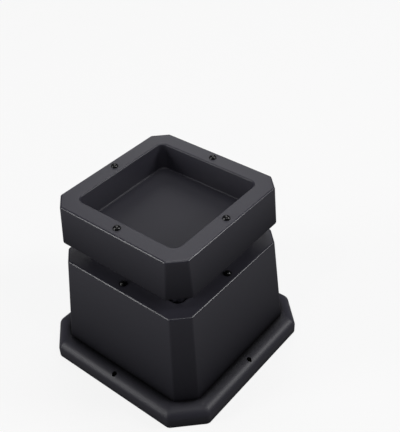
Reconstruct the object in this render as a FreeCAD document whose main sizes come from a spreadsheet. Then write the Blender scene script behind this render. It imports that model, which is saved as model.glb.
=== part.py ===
import FreeCAD, Part
import math
import os
import Sketcher

# Stackable bed riser, two injection-moulded pieces: a flanged base with a square recess in its top, and a
# top unit whose hollow foot stands in that recess. The furniture leg stands in the top unit's own recess.
# Frame: +Z up, origin at the centre of the base's underside, millimetres.

doc = FreeCAD.newDocument("bed_riser")
sheet = doc.addObject("Spreadsheet::Sheet", "sizes")

DRIVING_SIZES = {
    # Outer walls: squares with cut corners that widen downwards by the draft angle
    "top_rim_width": 122.0,
    "base_rim_width": 124.4,
    "corner_cut": 10.8,
    "wall_draft": 4.6,
    "wall": 3.0,
    "upright_edge": 2.5,
    "rim_edge": 1.0,
    # Heights: the base, the top unit's skirt and the open gap that its foot leaves below the skirt
    "base_height": 96.0,
    "skirt_height": 33.5,
    "stack_gap": 18.5,
    # Recess in the top of each unit
    "recess_width": 94.2,
    "recess_depth": 21.0,
    "recess_draft": 7.0,
    "recess_corner": 7.0,
    "recess_edge": 1.3,
    "floor_edge": 2.0,
    "recess_floor": 3.5,
    # Foot of the top unit, all round in the base's recess, and the ribs under both recess floors
    "foot_clearance": 1.5,
    "foot_corner_cut": 1.5,
    "rib": 2.6,
    # Flange round the base, with a screw hole in the middle of each side
    "flange_reach": 12.5,
    "flange_height": 16.2,
    "flange_shoulder": 9.0,
    "flange_corner_cut": 22.0,
    "screw_hole": 4.0,
    "screw_inset": 7.1,
    # Domed pips in the middle of each rim side
    "pip_diameter": 6.0,
    "pip_height": 2.4,
}
for row, (alias, value) in enumerate(DRIVING_SIZES.items(), start=1):
    sheet.set(f"A{row}", alias)
    sheet.set(f"B{row}", str(value))
    sheet.setAlias(f"B{row}", alias)
doc.recompute()

# Expressions that both pieces share. Moving a wall out by 1 mm lengthens its 45 degree corner cut's leg by
# CUT_GROWTH mm, which is also the leg of the cut that touches a corner arc of 1 mm radius.
DRAFT = "tan(sizes.wall_draft)"
CUT_GROWTH = "(2 - sqrt(2))"
RECESS_DRAFT = "tan(sizes.recess_draft)"
CUP_DEPTH = "(sizes.recess_depth + sizes.recess_floor)"
PIP_RADIUS = "(sizes.pip_diameter ^ 2 / 4 + sizes.pip_height ^ 2) / (2 * sizes.pip_height)"
TOLERANCE = 1e-4


def size(expression):
    """The present value of an expression of the driving sizes."""
    return float(sheet.evalExpression(expression))


def origin_part(body, role):
    """One of the body's own origin planes or axes."""
    return next(feature for feature in body.Origin.OriginFeatures if feature.Role == role)


def new_sketch(body, name, plane, height="0"):
    """An empty sketch on an origin plane, raised along the plane's normal."""
    sketch = body.newObject("Sketcher::SketchObject", name)
    sketch.AttachmentSupport = (origin_part(body, plane), [""])
    sketch.MapMode = "FlatFace"
    sketch.setExpression("AttachmentOffset.Base.z", height)
    return sketch


def dimension(sketch, name, expression, kind, *points):
    """A named dimension of a sketch, bound to the driving sizes."""
    index = sketch.addConstraint(Sketcher.Constraint(kind, *points, size(expression)))
    sketch.renameConstraint(index, name)
    sketch.setExpression(f"Constraints.{name}", expression)


def closed_outline(sketch, points):
    """Straight sides through the given corners, joined end to end."""
    corners = [FreeCAD.Vector(x, y, 0) for x, y in points]
    for start, end in zip(corners, corners[1:] + corners[:1]):
        sketch.addGeometry(Part.LineSegment(start, end), False)
    for side in range(len(corners)):
        sketch.addConstraint(Sketcher.Constraint("Coincident", side, 2, (side + 1) % len(corners), 1))


def side_ends(reach, flat):
    """The ends of a square's four flat sides: right, back, left and front, anticlockwise."""
    return [(reach, -flat), (reach, flat), (flat, reach), (-flat, reach),
            (-reach, flat), (-reach, -flat), (-flat, -reach), (flat, -reach)]


def square_sides(sketch, half):
    """Sets the square's four sides, every second line of the sketch, upright or level and all as far out."""
    for side, direction in ((0, "Vertical"), (2, "Horizontal"), (4, "Vertical"), (6, "Horizontal")):
        sketch.addConstraint(Sketcher.Constraint(direction, side))
    dimension(sketch, "right", half, "DistanceX", -1, 1, 0, 1)
    dimension(sketch, "back", half, "DistanceY", -1, 1, 2, 1)
    dimension(sketch, "left", half, "DistanceX", 4, 1, -1, 1)
    dimension(sketch, "front", half, "DistanceY", 6, 1, -1, 1)


def cut_square(body, name, half, cut, height):
    """A square with its four corners cut at 45 degrees, centred on the Z axis."""
    sketch = new_sketch(body, name, "XY_Plane", height)
    flat = f"({half}) - ({cut})"
    closed_outline(sketch, side_ends(size(half), size(flat)))
    square_sides(sketch, half)
    for side, where, along in ((0, "right", "DistanceY"), (6, "front", "DistanceX")):
        dimension(sketch, f"{where}_start", flat, along, side, 1, -1, 1)
        dimension(sketch, f"{where}_end", flat, along, -1, 1, side, 2)
    for side, where, along in ((2, "back", "DistanceX"), (4, "left", "DistanceY")):
        dimension(sketch, f"{where}_start", flat, along, -1, 1, side, 1)
        dimension(sketch, f"{where}_end", flat, along, side, 2, -1, 1)
    return sketch


def round_square(body, name, half, radius, height):
    """A square with rounded corners, centred on the Z axis."""
    sketch = new_sketch(body, name, "XY_Plane", height)
    flat = size(f"({half}) - ({radius})")
    ends = [FreeCAD.Vector(x, y, 0) for x, y in side_ends(size(half), flat)]
    centres = ((flat, flat), (-flat, flat), (-flat, -flat), (flat, -flat))
    for corner, (x, y) in enumerate(centres):
        sketch.addGeometry(Part.LineSegment(ends[2 * corner], ends[2 * corner + 1]), False)
        circle = Part.Circle(FreeCAD.Vector(x, y, 0), FreeCAD.Vector(0, 0, 1), size(radius))
        start = corner * math.pi / 2
        sketch.addGeometry(Part.ArcOfCircle(circle, start, start + math.pi / 2), False)
    for side, arc, next_side in ((0, 1, 2), (2, 3, 4), (4, 5, 6), (6, 7, 0)):
        sketch.addConstraint(Sketcher.Constraint("Tangent", side, 2, arc, 1))
        sketch.addConstraint(Sketcher.Constraint("Tangent", arc, 2, next_side, 1))
    for arc in (3, 5, 7):
        sketch.addConstraint(Sketcher.Constraint("Equal", 1, arc))
    square_sides(sketch, half)
    dimension(sketch, "corner", radius, "Radius", 1)
    return sketch


def circle_sketch(body, name, across, distance, height):
    """A circle centred on the X axis, at a distance from the Z axis."""
    sketch = new_sketch(body, name, "XY_Plane", height)
    centre = FreeCAD.Vector(size(distance), 0, 0)
    sketch.addGeometry(Part.Circle(centre, FreeCAD.Vector(0, 0, 1), size(across) / 2), False)
    sketch.addConstraint(Sketcher.Constraint("PointOnObject", 0, 3, -1))
    dimension(sketch, "distance", distance, "DistanceX", -1, 1, 0, 3)
    dimension(sketch, "across", across, "Diameter", 0)
    return sketch


def loft(body, kind, name, sections):
    """A straight-sided loft through sketches, added to the body or taken from it."""
    feature = body.newObject(f"PartDesign::{kind}Loft", name)
    feature.Profile = sections[0]
    feature.Sections = sections[1:]
    feature.Ruled = True
    doc.recompute()


def extrude(body, kind, name, sketch, length):
    """A Pad raised from a sketch, or a Pocket sunk from it, by a length."""
    feature = body.newObject(f"PartDesign::{kind}", name)
    feature.Profile = sketch
    feature.setExpression("Length", length)
    doc.recompute()
    return feature


def at_height(shape, height):
    """Whether an edge or a face lies in the horizontal plane at a height."""
    return abs(shape.BoundBox.ZMin - height) < TOLERANCE and abs(shape.BoundBox.ZMax - height) < TOLERANCE


def runs_up_to(shape, height):
    """Whether an edge or a face rises from below to a height."""
    return shape.BoundBox.ZLength > TOLERANCE and abs(shape.BoundBox.ZMax - height) < TOLERANCE


def fillet(body, name, radius, wanted):
    """Rounds the edges of the body's last feature that the test picks out."""
    base = body.Tip
    edges = [f"Edge{i}" for i, edge in enumerate(base.Shape.Edges, start=1) if wanted(edge)]
    feature = body.newObject("PartDesign::Fillet", name)
    feature.Base = (base, edges)
    feature.setExpression("Radius", radius)
    doc.recompute()


def draft(body, name, angle, height, wanted, reverse=False):
    """Leans the side faces that the test picks out, about the flat face at a height. Below that height a
    solid's sides lean outwards and a hollow's inwards, or the other way round in reverse."""
    base = body.Tip
    faces = {f"Face{i}": face for i, face in enumerate(base.Shape.Faces, start=1)}
    sides = [face_name for face_name, face in faces.items() if wanted(face)]
    level = [face_name for face_name, face in faces.items() if at_height(face, height)]
    feature = body.newObject("PartDesign::Draft", name)
    feature.Base = (base, sides)
    feature.NeutralPlane = (base, level)
    feature.setExpression("Angle", angle)
    feature.Reversed = reverse
    doc.recompute()


def pattern(body, name, originals, count, sweep):
    """Repeats features round the Z axis."""
    feature = body.newObject("PartDesign::PolarPattern", name)
    feature.Originals = originals
    feature.Axis = (origin_part(body, "Z_Axis"), [""])
    feature.Angle = sweep
    feature.Occurrences = count
    body.Tip = feature
    doc.recompute()


def reach_of(edge):
    """How far the middle of an edge lies from the Z axis, along X or Y."""
    middle = edge.valueAt((edge.FirstParameter + edge.LastParameter) / 2)
    return max(abs(middle.x), abs(middle.y))


class Wall:
    """The tapered outer wall of a unit, from its lower end up to its rim."""

    def __init__(self, rim, low_height, rim_height):
        self.rim = rim
        self.low_height = low_height
        self.rim_height = rim_height

    def half(self, height, inset="0"):
        """Half of its width at a height, at a depth below its outer face."""
        return f"({self.rim}) + (({self.rim_height}) - ({height})) * {DRAFT} - ({inset})"

    def cut(self, height, inset="0"):
        """The leg of its corner cut at a height, at a depth below its outer face."""
        widening = f"(({self.rim_height}) - ({height})) * {DRAFT} - ({inset})"
        return f"sizes.corner_cut + ({widening}) * {CUT_GROWTH}"

    def section(self, body, name, height, inset="0"):
        """Its outline at a height."""
        return cut_square(body, name, self.half(height, inset), self.cut(height, inset), height)

    def raise_on(self, body):
        """Adds its outer form, still filled, drafted from the rim down, with rounded upright edges."""
        rim = self.section(body, "wall_rim", self.rim_height)
        pad = extrude(body, "Pad", "outer_wall", rim, f"({self.rim_height}) - ({self.low_height})")
        pad.Reversed = True
        doc.recompute()
        top = size(self.rim_height)
        draft(body, "wall_draft", "sizes.wall_draft", top, lambda face: runs_up_to(face, top))
        fillet(body, "wall_uprights", "sizes.upright_edge", lambda edge: runs_up_to(edge, top))

    def hollow(self, body):
        """Takes out the space inside it, open below and closed above by the rim."""
        under_rim = f"({self.rim_height}) - sizes.wall"
        ceiling = self.section(body, "hollow_ceiling", under_rim, "sizes.wall")
        extrude(body, "Pocket", "wall_hollow", ceiling, f"({under_rim}) - ({self.low_height})")
        level = size(under_rim)
        draft(body, "hollow_draft", "sizes.wall_draft", level, lambda face: runs_up_to(face, level), True)


class Recess:
    """The square recess in a unit's top, with drafted walls and rounded corners."""

    mouth = "sizes.recess_width / 2"

    def __init__(self, rim_height):
        self.rim_height = rim_height

    def half(self, depth, outset="0"):
        """Half of its width at a depth below the rim, or of a wall's outline round it."""
        return f"({self.mouth}) - ({depth}) * {RECESS_DRAFT} + ({outset})"

    def corner(self, depth, outset="0"):
        """Its corner radius at a depth below the rim, or that of a wall round it."""
        return f"sizes.recess_corner - ({depth}) * {RECESS_DRAFT} + ({outset})"

    def section(self, body, name, depth, outset="0"):
        """Its outline at a depth below the rim."""
        height = f"({self.rim_height}) - ({depth})"
        return round_square(body, name, self.half(depth, outset), self.corner(depth, outset), height)

    def hang_cup(self, body):
        """Adds its wall and floor, still filled, hanging from the rim."""
        cup = [self.section(body, "cup_mouth", "sizes.wall / 2", "sizes.wall"),
               self.section(body, "cup_under", CUP_DEPTH, "sizes.wall")]
        loft(body, "Additive", "recess_cup", cup)

    def cut_out(self, body):
        """Takes the recess out and rounds the rim's outer edge and the recess's mouth."""
        space = [self.section(body, "recess_mouth", "0"),
                 self.section(body, "recess_base", "sizes.recess_depth")]
        loft(body, "Subtractive", "recess", space)
        top = size(self.rim_height)
        mouth = size(self.mouth) + TOLERANCE
        fillet(body, "rim_edge", "sizes.rim_edge",
               lambda edge: at_height(edge, top) and reach_of(edge) > mouth)
        fillet(body, "recess_edge", "sizes.recess_edge",
               lambda edge: at_height(edge, top) and reach_of(edge) < mouth)


def rim_pips(body, wall, recess):
    """Four low domes, one in the middle of each side of the rim."""
    pip = body.newObject("PartDesign::AdditiveSphere", "pip")
    pip.setExpression("Radius", PIP_RADIUS)
    pip.setExpression("Angle1", f"asin(1 - sizes.pip_height / ({PIP_RADIUS}))")
    pip.setExpression("Placement.Base.x", f"(({wall.rim}) + ({recess.mouth})) / 2")
    pip.setExpression("Placement.Base.z", f"({wall.rim_height}) + sizes.pip_height - ({PIP_RADIUS})")
    doc.recompute()
    pattern(body, "pips", [pip], 4, 360)


def rib(body, name, low_half, high_half, high):
    """An upright rib through the Z axis, from the ground up, tapering with the wall that it runs into."""
    sketch = new_sketch(body, f"{name}_outline", "XZ_Plane")
    wide, narrow, top = size(low_half), size(high_half), size(high)
    closed_outline(sketch, [(-wide, 0), (wide, 0), (narrow, top), (-narrow, top)])
    x_axis, y_axis = -1, -2
    for side in (0, 2):
        sketch.addConstraint(Sketcher.Constraint("Symmetric", side, 1, side, 2, y_axis))
    sketch.addConstraint(Sketcher.Constraint("PointOnObject", 0, 1, x_axis))
    dimension(sketch, "low_width", f"2 * ({low_half})", "DistanceX", 0, 1, 0, 2)
    dimension(sketch, "high_width", f"2 * ({high_half})", "DistanceX", 2, 2, 2, 1)
    dimension(sketch, "high", high, "DistanceY", -1, 1, 2, 1)
    pad = extrude(body, "Pad", name, sketch, "sizes.rib")
    pad.Midplane = True
    doc.recompute()
    return pad


def base_unit():
    """The lower moulding: flange with screw holes, tapered wall, recess, cross rib and pips."""
    body = doc.addObject("PartDesign::Body", "base_riser")
    top = "sizes.base_height"
    wall = Wall("sizes.base_rim_width / 2", "0", top)
    recess = Recess(top)

    # Flange: an outline with cut corners and a broad rounded shoulder
    wall_at_flange = wall.half("sizes.flange_height")
    flange = f"{wall_at_flange} + sizes.flange_reach"
    outline = cut_square(body, "flange_outline", flange, "sizes.flange_corner_cut", "0")
    extrude(body, "Pad", "flange", outline, "sizes.flange_height")
    flange_top = size("sizes.flange_height")
    fillet(body, "flange_shoulder", "sizes.flange_shoulder",
           lambda edge: runs_up_to(edge, flange_top) or at_height(edge, flange_top))

    # Wall above it, and the hollow underside of both
    wall.raise_on(body)
    wall.hollow(body)
    flange_ceiling = "sizes.flange_height - sizes.wall"
    flange_inside = cut_square(body, "flange_inside", f"{flange} - sizes.wall",
                               f"sizes.flange_corner_cut - sizes.wall * {CUT_GROWTH}", flange_ceiling)
    extrude(body, "Pocket", "flange_hollow", flange_inside, flange_ceiling)
    ceiling, wall_reach = size(flange_ceiling), size(wall_at_flange)
    fillet(body, "flange_inner_shoulder", "sizes.flange_shoulder - sizes.wall",
           lambda edge: at_height(edge, ceiling) and reach_of(edge) > wall_reach)

    # Recess, carried by a cross rib
    recess.hang_cup(body)
    under_rim = "sizes.base_height - sizes.wall / 2"
    mid_wall_low = wall.half("0", "sizes.wall / 2")
    mid_wall_high = wall.half(under_rim, "sizes.wall / 2")
    one_rib = rib(body, "cross_rib", mid_wall_low, mid_wall_high, under_rim)
    pattern(body, "cross_ribs", [one_rib], 2, 90)
    recess.cut_out(body)

    # Screw holes in the flange
    screw_line = f"{wall_at_flange} + sizes.screw_inset"
    bore = circle_sketch(body, "hole_outline", "sizes.screw_hole", screw_line, "sizes.flange_height")
    hole = extrude(body, "Pocket", "hole", bore, "sizes.flange_height")
    pattern(body, "holes", [hole], 4, 360)

    rim_pips(body, wall, recess)
    return body


def top_unit():
    """The upper moulding: skirt, recess for the furniture leg, hollow foot with a cross rib, and pips."""
    body = doc.addObject("PartDesign::Body", "top_riser")
    body.setExpression("Placement.Base.z", "sizes.base_height - sizes.recess_depth")
    skirt_low = "sizes.recess_depth + sizes.stack_gap"
    top = f"{skirt_low} + sizes.skirt_height"
    wall = Wall("sizes.top_rim_width / 2", skirt_low, top)
    recess = Recess(top)
    wall.raise_on(body)
    wall.hollow(body)

    # Foot: the recess's wall carried on down, to a sole that clears the walls of the recess it stands in.
    # The corner arcs of its sections share their centres, so it tapers evenly all round.
    hung_from = "sizes.wall / 2"
    foot_half = recess.half("sizes.recess_depth", "-sizes.foot_clearance")
    drawn_in = f"(({recess.half(hung_from, 'sizes.wall')}) - ({foot_half}))"
    foot_corner = f"{recess.corner(hung_from, 'sizes.wall')} - {drawn_in}"
    foot = [recess.section(body, "foot_top", hung_from, "sizes.wall"),
            round_square(body, "foot_sole", foot_half, foot_corner, "0")]
    loft(body, "Additive", "foot", foot)
    cup_under = f"{top} - {CUP_DEPTH}"
    opening = cut_square(body, "foot_opening", f"{foot_half} - sizes.wall", "sizes.foot_corner_cut", "0")
    pocket = extrude(body, "Pocket", "foot_hollow", opening, cup_under)
    pocket.Reversed = True
    doc.recompute()
    ceiling = size(cup_under)
    foot_lean = f"atan({drawn_in} / ({top} - {hung_from}))"
    draft(body, "foot_draft", foot_lean, 0, lambda face: runs_up_to(face, ceiling))
    mid_wall_low = f"{foot_half} - sizes.wall / 2"
    mid_wall_high = recess.half(CUP_DEPTH, "sizes.wall / 2")
    one_rib = rib(body, "foot_rib", mid_wall_low, mid_wall_high, cup_under)
    pattern(body, "foot_ribs", [one_rib], 2, 90)

    # The leg's recess, with a rounding round its floor
    recess.cut_out(body)
    leg_floor = size(f"{top} - sizes.recess_depth")
    fillet(body, "floor_edge", "sizes.floor_edge", lambda edge: at_height(edge, leg_floor))

    rim_pips(body, wall, recess)
    return body


bodies = [base_unit(), top_unit()]
doc.recompute()

for item in doc.Objects:
    if "Invalid" in item.State or "Error" in item.State:
        raise RuntimeError(f"{item.Label} failed: {item.State}")
for body in bodies:
    if body.Shape.isNull() or not body.Shape.isValid() or len(body.Shape.Solids) != 1:
        raise RuntimeError(f"{body.Label} is not one valid solid")

os.makedirs("parts", exist_ok=True)
for body in bodies:
    body.Shape.exportStep(f"parts/{body.Label}.step")
    box = body.Shape.BoundBox
    print(body.Label, f"{box.XLength:.2f} x {box.YLength:.2f} x {box.ZLength:.2f} mm, from z {box.ZMin:.2f},",
          f"{body.Shape.Volume / 1000:.1f} cm3")
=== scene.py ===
import math

import bmesh
import bpy
from mathutils import Matrix, Vector


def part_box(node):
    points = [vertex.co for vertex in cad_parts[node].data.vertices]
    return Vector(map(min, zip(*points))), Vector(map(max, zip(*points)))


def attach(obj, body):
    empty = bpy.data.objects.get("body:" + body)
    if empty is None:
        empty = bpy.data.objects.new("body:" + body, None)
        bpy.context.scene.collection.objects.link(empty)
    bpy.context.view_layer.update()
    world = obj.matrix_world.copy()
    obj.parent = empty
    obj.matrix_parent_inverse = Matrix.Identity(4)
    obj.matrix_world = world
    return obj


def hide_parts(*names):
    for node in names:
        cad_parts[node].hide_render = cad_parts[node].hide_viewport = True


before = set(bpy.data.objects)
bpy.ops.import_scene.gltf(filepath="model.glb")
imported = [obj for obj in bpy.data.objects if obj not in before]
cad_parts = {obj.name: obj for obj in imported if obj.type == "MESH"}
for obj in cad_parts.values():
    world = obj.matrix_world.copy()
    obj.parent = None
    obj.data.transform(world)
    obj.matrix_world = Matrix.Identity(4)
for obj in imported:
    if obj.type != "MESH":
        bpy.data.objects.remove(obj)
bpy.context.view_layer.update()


# Base riser
# The lower moulding: a tapered square box with cut corners, injection moulded in black plastic and open
# underneath. Its rim is turned down into a square recess, its foot spreads into a flange with four screw
# holes, and a cross rib under the recess takes the load to the floor.

MM = 0.001
CUT_GROWTH = 2 - math.sqrt(2)    # how fast a cut corner widens as its square is set outwards

wall = 3 * MM
wall_draft = math.tan(math.radians(4.6))
upright_edge = 2.5 * MM
inside_edge = 0.8 * MM
rim_edge = 1.6 * MM
lip_edge = 0.4 * MM
rib = 2.6 * MM

recess_half = 47.1 * MM
recess_depth = 21 * MM
recess_corner = 6 * MM
recess_draft = math.tan(math.radians(7))
recess_edge = 1.3 * MM
recess_floor_edge = 1.2 * MM
recess_floor = 3.5 * MM

pip_radius = 3 * MM
pip_height = 2.4 * MM

base_low, base_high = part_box("base_riser")
base_rim = base_high.z - pip_height
base_rim_half = 62.2 * MM
base_rim_cut = 11.4 * MM
base_cut_growth = 0.25    # how fast the cut corners widen as the wall spreads
flange_half = base_high.x
flange_height = 16.2 * MM
flange_shoulder = 9 * MM
flange_reach = 12.2 * MM
flange_corner = 4.5 * MM
flange_cut = 22 * MM
screw_radius = 2 * MM
screw_line = 75.72 * MM

CORNER_STEPS = 5
SHOULDER_STEPS = 20
LIP_STEPS = 3
EDGE_STEPS = 5
ROLL_STEPS = 6
SHARP_ANGLE = math.radians(40)


def outline(bm, half, height, corner, cut=0.0):
    """A level ring round a square. Its corners are rounded, or cut across and rounded at both ends."""
    square = bmesh.ops.create_grid(bm, x_segments=1, y_segments=1, size=half,
                                   matrix=Matrix.Translation((0, 0, height)))
    points = square["verts"]
    reach = corner
    steps = 2 * CORNER_STEPS + 1
    if cut:
        points = bmesh.ops.bevel(bm, geom=points, offset=cut, offset_type="OFFSET", segments=1, profile=0.5,
                                 affect="VERTICES", material=-1)["verts"]
        reach = corner * math.tan(math.radians(45) / 2)
        steps = CORNER_STEPS
    points = bmesh.ops.bevel(bm, geom=points, offset=reach, offset_type="OFFSET", segments=steps, profile=0.5,
                             affect="VERTICES", material=-1)["verts"]
    face = points[0].link_faces[0]
    ring = face.edges[:]
    bmesh.ops.delete(bm, geom=[face], context="FACES_ONLY")
    return ring


def wall_ring(bm, rim, height, inset=0.0):
    """A ring on the drafted outer wall below a rim, or on the face that lies inset behind it."""
    rim_half, rim_height, rim_cut, cut_growth = rim
    widening = (rim_height - height) * wall_draft
    corner = inside_edge if inset else upright_edge
    return outline(bm, rim_half + widening - inset, height, corner,
                   rim_cut + widening * cut_growth - inset * CUT_GROWTH)


def recess_ring(bm, rim_height, depth, outset=0.0):
    """A ring on the recess's drafted wall, or on the outside of the cup round it."""
    half = recess_half - depth * recess_draft + outset
    return outline(bm, half, rim_height - depth, recess_corner + outset)


def shoulder_rings(bm, half, height, reach, fall, corner, cut):
    """Rings down an oval shoulder, from its level top out to its upright side."""
    rings = []
    for step in range(SHOULDER_STEPS + 1):
        lean = math.radians(90) * step / SHOULDER_STEPS
        inset = reach * (1 - math.sin(lean))
        drop = fall * (1 - math.cos(lean))
        rings.append(outline(bm, half - inset, height - drop, corner, cut - inset * CUT_GROWTH))
    return rings


def skin(bm, rings):
    """Faces from each ring to the next, and a lid on the first and the last."""
    for near, far in zip(rings, rings[1:]):
        # Level rings are held apart while they are joined, so that both run the same way round
        points = list({point for edge in far for point in edge.verts})
        apart = Vector((0, 0, math.copysign(wall, points[0].co.z - near[0].verts[0].co.z)))
        bmesh.ops.translate(bm, verts=points, vec=apart)
        bmesh.ops.bridge_loops(bm, edges=near + far)
        bmesh.ops.translate(bm, verts=points, vec=-apart)
    for end in (rings[0], rings[-1]):
        bmesh.ops.edgeloop_fill(bm, edges=end)


def round_over(bm, ring, radius, steps):
    """Rolls an edge of the moulding over to a radius."""
    bmesh.ops.bevel(bm, geom=ring, offset=radius, offset_type="OFFSET", segments=steps, profile=0.5,
                    affect="EDGES", clamp_overlap=False, material=-1)


def as_object(bm, name):
    """The finished mesh as an object at the origin, its faces turned outwards."""
    bmesh.ops.recalc_face_normals(bm, faces=bm.faces)
    mesh = bpy.data.meshes.new(name)
    bm.to_mesh(mesh)
    bm.free()
    piece = bpy.data.objects.new(name, mesh)
    bpy.context.scene.collection.objects.link(piece)
    return piece


def upright_rib(half_outline, turn):
    """One rib through the axis. Half its outline is given, as places across and up, and is mirrored."""
    points = half_outline + [(-across, height) for across, height in reversed(half_outline)]
    bm = bmesh.new()
    face = bm.faces.new([bm.verts.new((across, -rib / 2, height)) for across, height in points])
    body = bmesh.ops.extrude_face_region(bm, geom=[face])["geom"]
    bmesh.ops.translate(bm, verts=[item for item in body if isinstance(item, bmesh.types.BMVert)],
                        vec=(0, rib, 0))
    bmesh.ops.rotate(bm, verts=bm.verts, matrix=Matrix.Rotation(turn, 3, "Z"))
    return as_object(bm, "rib")


def cross_rib(half_outline):
    """Two such ribs, square to each other, to be joined to a moulding."""
    return [("UNION", upright_rib(half_outline, turn)) for turn in (0, math.radians(90))]


def repeat_on_each_side(bm):
    """Repeats what stands on the right side in the middle of the other three."""
    bmesh.ops.spin(bm, geom=bm.verts[:] + bm.edges[:] + bm.faces[:], cent=(0, 0, 0), axis=(0, 0, 1),
                   angle=math.radians(270), steps=3, use_duplicate=True)


def rim_pips(rim_half, rim_height):
    """Four domes in the middle of the rim's sides, with stalks that run down into the rim."""
    bm = bmesh.new()
    dome_radius = (pip_radius ** 2 + pip_height ** 2) / (2 * pip_height)
    line = (rim_half + recess_half) / 2
    bmesh.ops.create_uvsphere(bm, u_segments=32, v_segments=24, radius=dome_radius)
    bmesh.ops.translate(bm, verts=bm.verts, vec=(line, 0, rim_height + pip_height - dome_radius))
    sunk = bmesh.ops.bisect_plane(bm, geom=bm.verts[:] + bm.edges[:] + bm.faces[:], clear_outer=True,
                                  plane_co=(0, 0, rim_height - wall / 2), plane_no=(0, 0, -1))
    cut_edges = [item for item in sunk["geom_cut"] if isinstance(item, bmesh.types.BMEdge)]
    bmesh.ops.edgeloop_fill(bm, edges=cut_edges)
    repeat_on_each_side(bm)
    return as_object(bm, "pips")


def screw_cores():
    """The four pins that leave the flange's screw holes open."""
    bm = bmesh.new()
    bmesh.ops.create_cone(bm, cap_ends=True, segments=48, radius1=screw_radius, radius2=screw_radius,
                          depth=4 * wall, matrix=Matrix.Translation((screw_line, 0, flange_height)))
    repeat_on_each_side(bm)
    return as_object(bm, "cores")


def mould_together(piece, tools):
    """Joins ribs and pips to a moulding, or cuts cores out of it, and leaves one smooth closed mesh."""
    for operation, tool in tools:
        joined = piece.modifiers.new(tool.name, "BOOLEAN")
        joined.operation = operation
        joined.solver = "EXACT"
        joined.object = tool
    bpy.context.view_layer.update()
    moulded = bpy.data.meshes.new_from_object(piece.evaluated_get(bpy.context.evaluated_depsgraph_get()))
    piece.modifiers.clear()
    piece.data = moulded
    moulded.name = piece.name
    for operation, tool in tools:
        bpy.data.objects.remove(tool)
    moulded.shade_smooth()
    moulded.set_sharp_from_angle(angle=SHARP_ANGLE)
    even = piece.modifiers.new("even shading", "WEIGHTED_NORMAL")
    even.keep_sharp = True


bm = bmesh.new()
floor_line = recess_ring(bm, base_rim, recess_depth)
mouth = recess_ring(bm, base_rim, 0)
base_wall = (base_rim_half, base_rim, base_rim_cut, base_cut_growth)
rim = wall_ring(bm, base_wall, base_rim)
wall_foot = wall_ring(bm, base_wall, flange_height)
shoulder = shoulder_rings(bm, flange_half, flange_height, flange_reach, flange_shoulder, flange_corner,
                          flange_cut)
sole = outline(bm, flange_half, base_low.z, flange_corner, flange_cut)
inner_half = flange_half - wall
inner_cut = flange_cut - wall * CUT_GROWTH
inner_sole = outline(bm, inner_half, base_low.z, inside_edge, inner_cut)
inner_shoulder = shoulder_rings(bm, inner_half, flange_height - wall, flange_reach - wall,
                                flange_shoulder - wall, inside_edge, inner_cut)
hollow_foot = wall_ring(bm, base_wall, flange_height - wall, wall)
under_rim = wall_ring(bm, base_wall, base_rim - wall, wall)
cup_top = recess_ring(bm, base_rim, wall, wall)
cup_sole = recess_ring(bm, base_rim, recess_depth + recess_floor, wall)
skin(bm, [floor_line, mouth, rim, wall_foot, *shoulder, sole, inner_sole, *reversed(inner_shoulder),
          hollow_foot, under_rim, cup_top, cup_sole])
round_over(bm, floor_line, recess_floor_edge, EDGE_STEPS)
round_over(bm, mouth, recess_edge, ROLL_STEPS)
round_over(bm, rim, rim_edge, EDGE_STEPS)
round_over(bm, sole, lip_edge, LIP_STEPS)
base = as_object(bm, "base_moulding")

mid_wall = base_rim_half - wall / 2
rib_low = mid_wall + (base_rim - base_low.z) * wall_draft
rib_high = mid_wall + wall / 2 * wall_draft
rib_top = base_rim - wall / 2
cup_mid = recess_half + wall / 2
cup_low = cup_mid - recess_depth * recess_draft
cup_floor = base_rim - recess_depth - recess_floor / 2
base_rib = [(rib_low, base_low.z), (rib_high, rib_top), (cup_mid, rib_top), (cup_low, cup_floor)]
mould_together(base, [*cross_rib(base_rib), ("UNION", rim_pips(base_rim_half, base_rim)),
                      ("DIFFERENCE", screw_cores())])

SATIN_BLACK = (0.044, 0.0425, 0.057, 1), (0.051, 0.0495, 0.066, 1)
DOME_BLACK = (0.005, 0.005, 0.006, 1), (0.007, 0.007, 0.008, 1)
PLASTIC_FINISHES = {    # how rough the gloss is, and the darkest and lightest black
    "satin": (0.4, SATIN_BLACK),
    "edge": (0.22, SATIN_BLACK),
    "domes": (0.18, DOME_BLACK),
    "foot": (0.42, SATIN_BLACK),
}
grain_size = 0.5 * MM
grain_depth = 0.05 * MM
grain_strength = 0.12
flow_marks_per_metre = 18.0
least_roughness = 0.45
roughness_spread = 0.1
under_gloss = 0.1
# Base colour at each wall's foot, painted darker as painted shade, and the gloss at the foot and the rim
foot_painted_shade = 0.5
foot_gloss = 0.1
rim_gloss = 0.9
# Painted shade in creases, found by ambient occlusion within this reach
crease_reach = 30 * MM
crease_start, crease_full = 0.95, 0.63    # how open the surface is where a crease begins and is darkest
flange_crease_shade = 0.95    # how dark the painted shade in the crease between wall and flange gets


def calculate(tree, operation, *values):
    """A value worked out in a node tree from sockets and constants."""
    step = tree.nodes.new("ShaderNodeMath")
    step.operation = operation
    for socket, value in zip(step.inputs, values):
        if isinstance(value, float):
            socket.default_value = value
        else:
            tree.links.new(value, socket)
    return step.outputs[0]


def mix_colours(tree, share, first, second):
    """A colour between two others, each of them a constant or a socket."""
    mix = tree.nodes.new("ShaderNodeMix")
    mix.data_type = "RGBA"
    tree.links.new(share, mix.inputs["Factor"])
    for socket, colour in ((mix.inputs["A"], first), (mix.inputs["B"], second)):
        if isinstance(colour, tuple):
            socket.default_value = colour
        else:
            tree.links.new(colour, socket)
    return mix.outputs["Result"]


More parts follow.
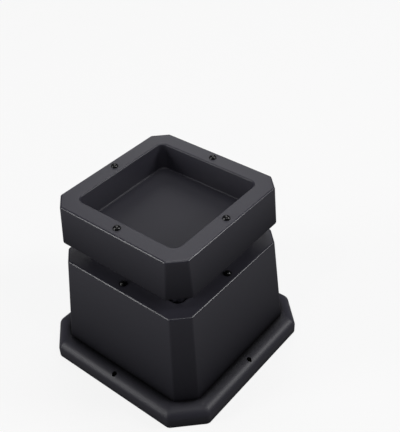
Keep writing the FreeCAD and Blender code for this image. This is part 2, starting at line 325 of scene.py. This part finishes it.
def mould_grain_and_painted_shade():
    """The mouldings' grain and random tone, a base colour painted darker away from the rim and in creases as
    painted shade, and a gloss that falls the same way.
    """
    group = bpy.data.node_groups.new("mould grain and painted shade", "ShaderNodeTree")
    for name in ("Grain size", "Rim height", "Low height", "Crease shade"):
        group.interface.new_socket(name, in_out="INPUT", socket_type="NodeSocketFloat")
    for name in ("Tone", "Shade", "Gloss", "Roughness", "Grain"):
        group.interface.new_socket(name, in_out="OUTPUT", socket_type="NodeSocketFloat")
    nodes, links = group.nodes, group.links
    given = nodes.new("NodeGroupInput").outputs
    outputs = nodes.new("NodeGroupOutput").inputs
    place = nodes.new("ShaderNodeTexCoord").outputs["Object"]

    axes = nodes.new("ShaderNodeSeparateXYZ")
    links.new(place, axes.inputs["Vector"])
    height = axes.outputs["Z"]
    # How far up the wall a point lies, for the base colour that is painted darker towards the foot as painted
    # shade
    up_wall = nodes.new("ShaderNodeMapRange")
    links.new(height, up_wall.inputs["Value"])
    links.new(given["Low height"], up_wall.inputs["From Min"])
    links.new(given["Rim height"], up_wall.inputs["From Max"])
    below_wall = calculate(group, "LESS_THAN", height, given["Low height"])
    up_flange = calculate(group, "DIVIDE", height, given["Low height"])
    on_flange = calculate(group, "MULTIPLY", below_wall, up_flange)
    risen = calculate(group, "MAXIMUM", up_wall.outputs["Result"], on_flange)

    # Painted shade in creases: where ambient occlusion finds the surface closed in, colour and gloss are
    # lowered
    crease = nodes.new("ShaderNodeAmbientOcclusion")
    crease.samples = 8
    crease.only_local = True
    crease.inputs["Distance"].default_value = crease_reach
    depth = nodes.new("ShaderNodeMapRange")
    depth.inputs["From Min"].default_value = crease_start
    depth.inputs["From Max"].default_value = crease_full
    links.new(crease.outputs["AO"], depth.inputs["Value"])
    in_crease = calculate(group, "MULTIPLY", depth.outputs["Result"], given["Crease shade"])
    in_open = calculate(group, "SUBTRACT", 1.0, in_crease)
    # Shade darkens the base colour: painted shade towards each wall's foot and in creases
    shade = calculate(group, "MULTIPLY_ADD", risen, 1 - foot_painted_shade, foot_painted_shade)
    gloss = calculate(group, "MULTIPLY_ADD", risen, rim_gloss - foot_gloss, foot_gloss)
    links.new(calculate(group, "MULTIPLY", in_open, shade), outputs["Shade"])
    links.new(calculate(group, "MULTIPLY", in_open, gloss), outputs["Gloss"])

    grain = nodes.new("ShaderNodeTexNoise")
    grain.inputs["Detail"].default_value = 2.0
    links.new(place, grain.inputs["Vector"])
    links.new(calculate(group, "DIVIDE", 1.0, given["Grain size"]), grain.inputs["Scale"])
    links.new(grain.outputs["Fac"], outputs["Grain"])

    flow = nodes.new("ShaderNodeTexNoise")
    flow.inputs["Scale"].default_value = flow_marks_per_metre
    flow.inputs["Detail"].default_value = 3.0
    links.new(place, flow.inputs["Vector"])
    links.new(flow.outputs["Fac"], outputs["Tone"])
    roughness = calculate(group, "MULTIPLY_ADD", flow.outputs["Fac"], roughness_spread, least_roughness)
    links.new(roughness, outputs["Roughness"])
    return group


grain_and_painted_shade_group = mould_grain_and_painted_shade()


def black_plastic(name, low_height, rim_height, crease_shade, gloss_roughness, dark, light):
    """Black plastic, a little blue, with the mould's grain and painted shade on it, from satin to polished.
    """
    material = bpy.data.materials.new(name)
    material.use_nodes = True
    tree = material.node_tree
    shader = tree.nodes["Principled BSDF"]
    mould = tree.nodes.new("ShaderNodeGroup")
    mould.node_tree = grain_and_painted_shade_group
    mould.inputs["Grain size"].default_value = grain_size
    mould.inputs["Rim height"].default_value = rim_height
    mould.inputs["Low height"].default_value = low_height
    mould.inputs["Crease shade"].default_value = crease_shade

    tone = mix_colours(tree, mould.outputs["Tone"], dark, light)
    # The base colour is darkened towards each wall's foot and in creases: painted shade
    shaded = mix_colours(tree, mould.outputs["Shade"], (0, 0, 0, 1), tone)
    tree.links.new(shaded, shader.inputs["Base Color"])
    tree.links.new(mould.outputs["Roughness"], shader.inputs["Roughness"])
    tree.links.new(mould.outputs["Gloss"], shader.inputs["Coat Weight"])
    shader.inputs["Coat Roughness"].default_value = gloss_roughness
    shader.inputs["Specular IOR Level"].default_value = under_gloss

    grain = tree.nodes.new("ShaderNodeBump")
    grain.inputs["Strength"].default_value = grain_strength
    grain.inputs["Distance"].default_value = grain_depth
    tree.links.new(mould.outputs["Grain"], grain.inputs["Height"])
    tree.links.new(grain.outputs["Normal"], shader.inputs["Normal"])
    return material


def finish_plastic(piece, low_height, rim_height, crease_shade):
    """Satin walls, and finishes of their own on the rim's outer edge, the polished domes and the foot."""
    slots = list(PLASTIC_FINISHES)
    for finish, (gloss_roughness, colours) in PLASTIC_FINISHES.items():
        material = black_plastic(f"{piece.name}_{finish}", low_height, rim_height, crease_shade,
                                 gloss_roughness, *colours)
        piece.data.materials.append(material)
    hairline = lip_edge / 10
    for face in piece.data.polygons:
        below_rim = rim_height - face.center.z
        out_from_middle = max(abs(face.center.x), abs(face.center.y))
        if below_rim < -hairline:
            face.material_index = slots.index("domes")
        elif hairline < below_rim < rim_edge and out_from_middle > recess_half + wall:
            face.material_index = slots.index("edge")
        elif face.center.z < low_height:
            face.material_index = slots.index("foot")


finish_plastic(base, flange_height, base_rim, flange_crease_shade)
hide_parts("base_riser")
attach(base, "root")


# Top riser
# The upper moulding, of the same plastic: a short tapered skirt with cut corners, a square recess for the
# furniture leg, and a hollow foot that only stands in the base's recess.

top_low, top_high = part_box("top_riser")
top_rim = top_high.z - pip_height
top_rim_half = 61 * MM
top_rim_cut = 10.8 * MM
top_cut_growth = 1.0
skirt_height = 33.5 * MM
skirt_edge = 2.6 * MM
skirt_crease_shade = 0.0
foot_half = 43.02 * MM
foot_corner = 2.92 * MM
foot_edge = 0.5 * MM
hollow_cut = 1.5 * MM

bm = bmesh.new()
floor_line = recess_ring(bm, top_rim, recess_depth)
mouth = recess_ring(bm, top_rim, 0)
top_wall = (top_rim_half, top_rim, top_rim_cut, top_cut_growth)
rim = wall_ring(bm, top_wall, top_rim)
skirt_low = top_rim - skirt_height
skirt_foot = wall_ring(bm, top_wall, skirt_low)
inner_skirt_foot = wall_ring(bm, top_wall, skirt_low, wall)
under_rim = wall_ring(bm, top_wall, top_rim - wall, wall)
foot_top = recess_ring(bm, top_rim, wall, wall)
foot_sole = outline(bm, foot_half, top_low.z, foot_corner)
hollow_half = foot_half - wall
hollow_ceiling = top_rim - recess_depth - recess_floor
foot_lean = (recess_half - wall * recess_draft + wall - foot_half) / (top_rim - wall - top_low.z)
hollow_widening = (hollow_ceiling - top_low.z) * foot_lean
hollow_sole = outline(bm, hollow_half, top_low.z, inside_edge, hollow_cut)
hollow_top = outline(bm, hollow_half + hollow_widening, hollow_ceiling, inside_edge,
                     hollow_cut + hollow_widening * CUT_GROWTH)
skin(bm, [floor_line, mouth, rim, skirt_foot, inner_skirt_foot, under_rim, foot_top, foot_sole, hollow_sole,
          hollow_top])
round_over(bm, floor_line, recess_floor_edge, EDGE_STEPS)
round_over(bm, mouth, recess_edge, ROLL_STEPS)
round_over(bm, rim, rim_edge, EDGE_STEPS)
round_over(bm, skirt_foot, skirt_edge, ROLL_STEPS)
round_over(bm, foot_sole, foot_edge, LIP_STEPS)
top = as_object(bm, "top_moulding")

foot_mid = foot_half - wall / 2
foot_rib_top = hollow_ceiling + recess_floor / 2
foot_rib = [(foot_mid, top_low.z), (foot_mid + (foot_rib_top - top_low.z) * foot_lean, foot_rib_top)]
mould_together(top, [*cross_rib(foot_rib), ("UNION", rim_pips(top_rim_half, top_rim))])
finish_plastic(top, skirt_low, top_rim, skirt_crease_shade)
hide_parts("top_riser")
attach(top, "root")


# Floor
# A sheet of pale studio paper, wide enough to run out of every view, that takes the riser's soft shadow.
# A small dark sheet lies on it inside the base's hollow as painted shade, so that the screw holes look into
# the dark.

floor_size = 6.0
PALE_PAPER = (0.95, 0.95, 0.95, 1)
DARK_FLOOR_AND_PAINTED_SHADE = (0.05, 0.05, 0.05, 1)
white_share = 0.85       # of the floor as it is seen: the rest takes the shadow
mirrored_share = 0.12    # of that white, in the plastic's gloss
shade_sheet_lift = 0.2 * MM

bm = bmesh.new()
bmesh.ops.create_grid(bm, x_segments=1, y_segments=1, size=floor_size / 2,
                      matrix=Matrix.Translation((0, 0, base_low.z)))
floor = as_object(bm, "studio_floor")
paper = bpy.data.materials.new("studio_paper")
paper.use_nodes = True
tree = paper.node_tree
tree.nodes.remove(tree.nodes["Principled BSDF"])
seen = tree.nodes.new("ShaderNodeLightPath").outputs
mirrored = calculate(tree, "MULTIPLY", seen["Is Glossy Ray"], mirrored_share)
seen_or_mirrored = calculate(tree, "MAXIMUM", seen["Is Camera Ray"], mirrored)
seen_at_all = calculate(tree, "MAXIMUM", seen_or_mirrored, seen["Is Transmission Ray"])
matt = tree.nodes.new("ShaderNodeBsdfDiffuse")
tree.links.new(mix_colours(tree, seen_at_all, DARK_FLOOR_AND_PAINTED_SHADE, PALE_PAPER), matt.inputs["Color"])
white = tree.nodes.new("ShaderNodeEmission")
white.inputs["Strength"].default_value = 1.0
whitened = tree.nodes.new("ShaderNodeMixShader")
tree.links.new(calculate(tree, "MULTIPLY", seen_at_all, white_share), whitened.inputs["Fac"])
tree.links.new(matt.outputs["BSDF"], whitened.inputs[1])
tree.links.new(white.outputs["Emission"], whitened.inputs[2])
tree.links.new(whitened.outputs["Shader"], tree.nodes["Material Output"].inputs["Surface"])
floor.data.materials.append(paper)

# The dark sheet inside the base's hollow: painted shade where the white floor would show through the screw
# holes
bm = bmesh.new()
painted_shade_edge = outline(bm, inner_half, base_low.z + shade_sheet_lift, inside_edge, inner_cut)
bmesh.ops.edgeloop_fill(bm, edges=painted_shade_edge)
painted_shade_sheet = as_object(bm, "painted_shade_sheet")
painted_shade_paper = bpy.data.materials.new("painted_shade_paper")
painted_shade_paper.use_nodes = True
painted_shade_paper.node_tree.nodes["Principled BSDF"].inputs["Base Color"].default_value = DARK_FLOOR_AND_PAINTED_SHADE
painted_shade_sheet.data.materials.append(painted_shade_paper)


# Studio light
# Flat softboxes about 2 m from the riser. A large one overhead and one behind light the rims and the recess,
# one on each side and a low one the walls and the flange, and three small ones high in front the edges.
# A faint grey all round lifts the shadows, and the camera sees it as white.

riser_middle = Vector((0, 0, 80 * MM))
FAINT_GREY = (0.02, 0.02, 0.02, 1)
WHITE = (1, 1, 1, 1)


def softbox(name, place, width, height, power):
    """A flat soft lamp that faces the riser, its place and size in metres and its power in watts."""
    lamp = bpy.data.lights.new(name, "AREA")
    lamp.shape = "RECTANGLE"
    lamp.size = width
    lamp.size_y = height
    lamp.energy = power
    holder = bpy.data.objects.new(name, lamp)
    holder.location = place
    holder.rotation_euler = (riser_middle - Vector(place)).to_track_quat("-Z", "Y").to_euler()
    bpy.context.scene.collection.objects.link(holder)


softbox("overhead", (-0.29, 0.59, 1.97), width=1.2, height=1.2, power=12.2)
softbox("back_softbox", (-1.14, 1.31, 1.08), width=1.0, height=0.8, power=2.9)
softbox("right_softbox", (1.42, 0.99, 1.08), width=0.6, height=0.6, power=11.6)
softbox("left_softbox", (-1.09, -1.45, 0.93), width=0.5, height=0.5, power=7.4)
softbox("low_softbox", (-0.90, -1.76, 0.36), width=0.8, height=0.4, power=5.2)
softbox("front_softbox", (0.66, -0.66, 1.85), width=0.35, height=0.35, power=2.2)
softbox("front_left_softbox", (-0.02, -1.23, 1.66), width=0.22, height=0.22, power=2.2)
softbox("front_right_softbox", (1.23, 0.02, 1.66), width=0.22, height=0.22, power=2.4)

studio = bpy.data.worlds.new("studio")
studio.use_nodes = True
tree = studio.node_tree
seen = tree.nodes.new("ShaderNodeLightPath").outputs
surroundings = mix_colours(tree, seen["Is Camera Ray"], FAINT_GREY, WHITE)
tree.links.new(surroundings, tree.nodes["Background"].inputs["Color"])
bpy.context.scene.world = studio


# Camera
# It stands in front of the riser's near corner, above the rim, and looks down into the recess with a slight
# roll. Its place, angles and focal length are fitted to the edges of the riser in the photograph.

picture_height_px = 432
focal_length_px = 738.68
sensor_mm = 36
camera_place = Vector((0.29896, -0.32074, 0.46964))
yaw = math.radians(39.97)
pitch = math.radians(38.33)
roll = math.radians(2.12)

camera = bpy.data.cameras.new("camera")
camera.sensor_width = sensor_mm
camera.lens = focal_length_px * sensor_mm / picture_height_px
viewer = bpy.data.objects.new("camera", camera)
viewer.matrix_world = (Matrix.Translation(camera_place) @ Matrix.Rotation(yaw, 4, "Z")
                       @ Matrix.Rotation(math.radians(90) - pitch, 4, "X") @ Matrix.Rotation(-roll, 4, "Z"))
bpy.context.scene.collection.objects.link(viewer)
bpy.context.scene.camera = viewer

bpy.context.scene.view_settings.view_transform = "Standard"
